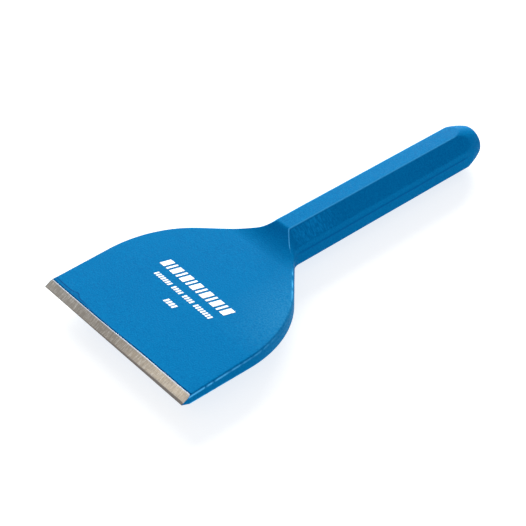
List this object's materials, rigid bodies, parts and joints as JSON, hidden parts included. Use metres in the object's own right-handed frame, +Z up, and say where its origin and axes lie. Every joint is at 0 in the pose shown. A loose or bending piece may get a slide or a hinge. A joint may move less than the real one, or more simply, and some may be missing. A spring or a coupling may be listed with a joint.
{
  "type": "brick bolster chisel",
  "caption": "Wide flat masonry bolster with a round-shouldered blade, octagonal forged shank, blue lacquer, bare ground cutting edge and a turned struck end.",
  "frame": {"origin": "middle of the bounding box in X and Y, at the height of the shank's lower flat, which the tool lies on", "axes": "+Y along the tool from the cutting edge to the struck end, +X across the blade, +Z up out of the blade's printed face"},
  "size_m": [0.101, 0.215, 0.0224],
  "materials": {
    "bare_steel": "ground bare across the edge, fine parallel grinding lines",
    "blue_lacquer": "semi-gloss blue dip lacquer over forged steel, fine mottle",
    "white_ink": "thin white pad-printed ink"
  },
  "bodies": {
    "root": {"forged_steel_body": "bare_steel", "lacquer_coat": "blue_lacquer", "printed_bar_mark": "white_ink", "printed_line_mark": "white_ink", "printed_block_mark": "white_ink"}
  },
  "joints": []
}
